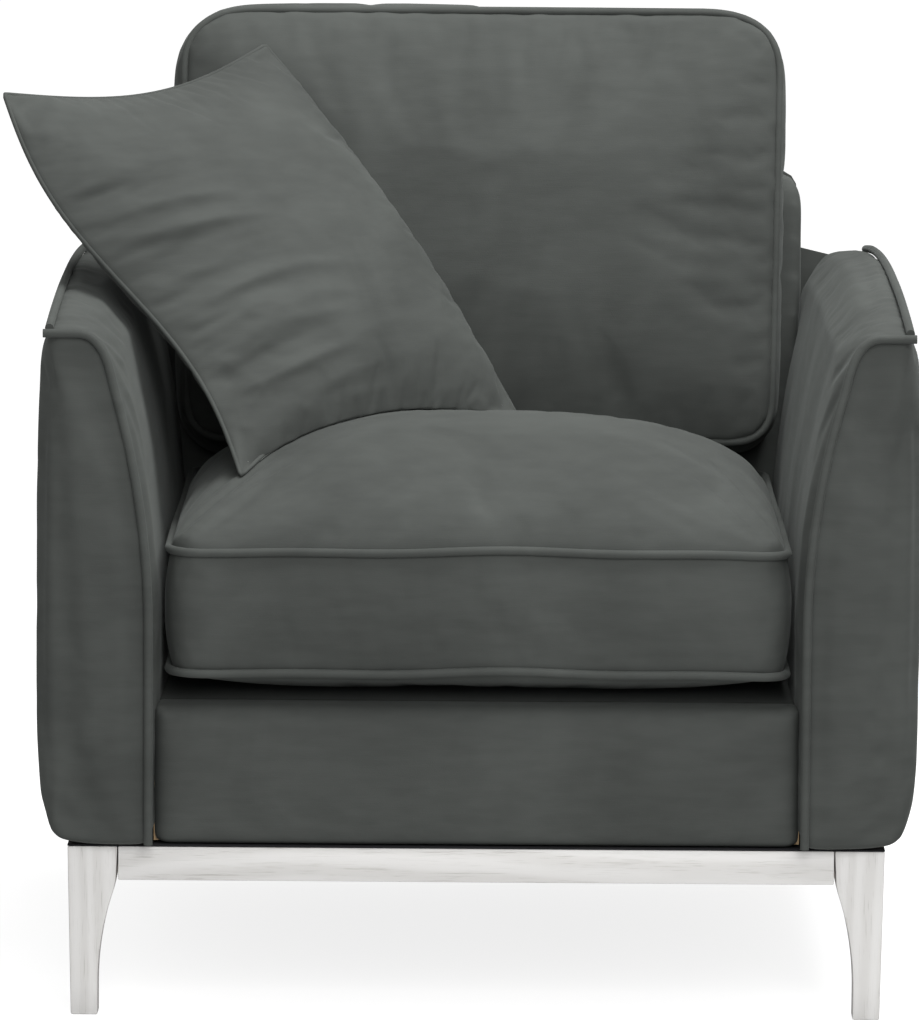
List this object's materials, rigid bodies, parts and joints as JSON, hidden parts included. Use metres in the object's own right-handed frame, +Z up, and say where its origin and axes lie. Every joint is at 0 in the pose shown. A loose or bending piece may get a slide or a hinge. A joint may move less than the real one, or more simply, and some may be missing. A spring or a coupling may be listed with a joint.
{
  "type": "upholstered armchair",
  "caption": "Boxy velvet armchair with padded arms, loose seat and back cushions, a scatter cushion and a pale wooden leg frame.",
  "frame": {"origin": "middle of the chair's footprint on the floor, with the scatter cushion that overhangs the left arm counted in", "axes": "+Z up, the sitter faces -Y, +X towards the arm on the right of someone looking at the chair from the front"},
  "size_m": [0.893, 0.8582, 0.9429],
  "materials": {
    "velvet": "dark grey-green velvet pile",
    "oak": "limed and matt lacquered",
    "frame_timber": "sawn softwood",
    "plywood": "unfinished",
    "foam": "open cell foam",
    "fibre": "white filled ticking",
    "lining": "black non-woven",
    "webbing": "woven elastic",
    "spring_steel": "plain wire",
    "zip": "nylon"
  },
  "bodies": {
    "chair": {"leg_front_left": "oak", "leg_front_right": "oak", "leg_rear_left": "oak", "leg_rear_right": "oak", "base_rail_front": "oak", "base_rail_rear": "oak", "base_rail_left": "oak", "base_rail_right": "oak", "corner_brace_front_left": "frame_timber", "corner_brace_front_right": "frame_timber", "corner_brace_rear_left": "frame_timber", "corner_brace_rear_right": "frame_timber", "seat_rail_front": "frame_timber", "seat_rail_rear": "frame_timber", "seat_rail_left": "frame_timber", "seat_rail_right": "frame_timber", "arm_top_rail_left": "frame_timber", "arm_top_rail_right": "frame_timber", "arm_base_rail_left": "frame_timber", "arm_base_rail_right": "frame_timber", "back_post_left": "frame_timber", "back_post_right": "frame_timber", "back_top_rail": "frame_timber", "arm_front_board_left": "plywood", "arm_front_board_right": "plywood", "arm_rear_board_left": "plywood", "arm_rear_board_right": "plywood", "zigzag_spring_1": "spring_steel", "zigzag_spring_2": "spring_steel", "zigzag_spring_3": "spring_steel", "zigzag_spring_4": "spring_steel", "back_webbing_1": "webbing", "back_webbing_2": "webbing", "back_webbing_3": "webbing", "front_border_padding": "foam", "arm_padding_left": "foam", "arm_padding_right": "foam", "back_padding": "foam", "front_border_cover": "velvet", "seat_deck": "velvet", "arm_cover_left": "velvet", "arm_cover_right": "velvet", "arm_piping_left": "velvet", "arm_piping_right": "velvet", "back_cover": "velvet", "outside_back": "velvet", "dust_cover": "lining"},
    "seat_cushion": {"seat_cushion_cover": "velvet", "seat_cushion_core": "foam", "seat_cushion_piping_top": "velvet", "seat_cushion_piping_bottom": "velvet", "seat_cushion_zip": "zip"},
    "back_cushion": {"back_cushion_cover": "velvet", "back_cushion_core": "fibre", "back_cushion_piping_front": "velvet", "back_cushion_piping_rear": "velvet", "back_cushion_zip": "zip"},
    "scatter_cushion": {"scatter_cushion_cover": "velvet", "scatter_cushion_filling": "fibre", "scatter_cushion_zip": "zip"}
  },
  "joints": [
    {"name": "seat_cushion_lift", "type": "slide", "parent": "chair", "child": "seat_cushion", "axis": [0, 0, 1], "range_m": [0, 0.42]},
    {"name": "back_cushion_lift", "type": "slide", "parent": "seat_cushion", "child": "back_cushion", "axis": [0, 0, 1], "range_m": [0, 0.42]},
    {"name": "scatter_cushion_lift", "type": "slide", "parent": "back_cushion", "child": "scatter_cushion", "axis": [0, 0, 1], "range_m": [0, 0.5]}
  ]
}
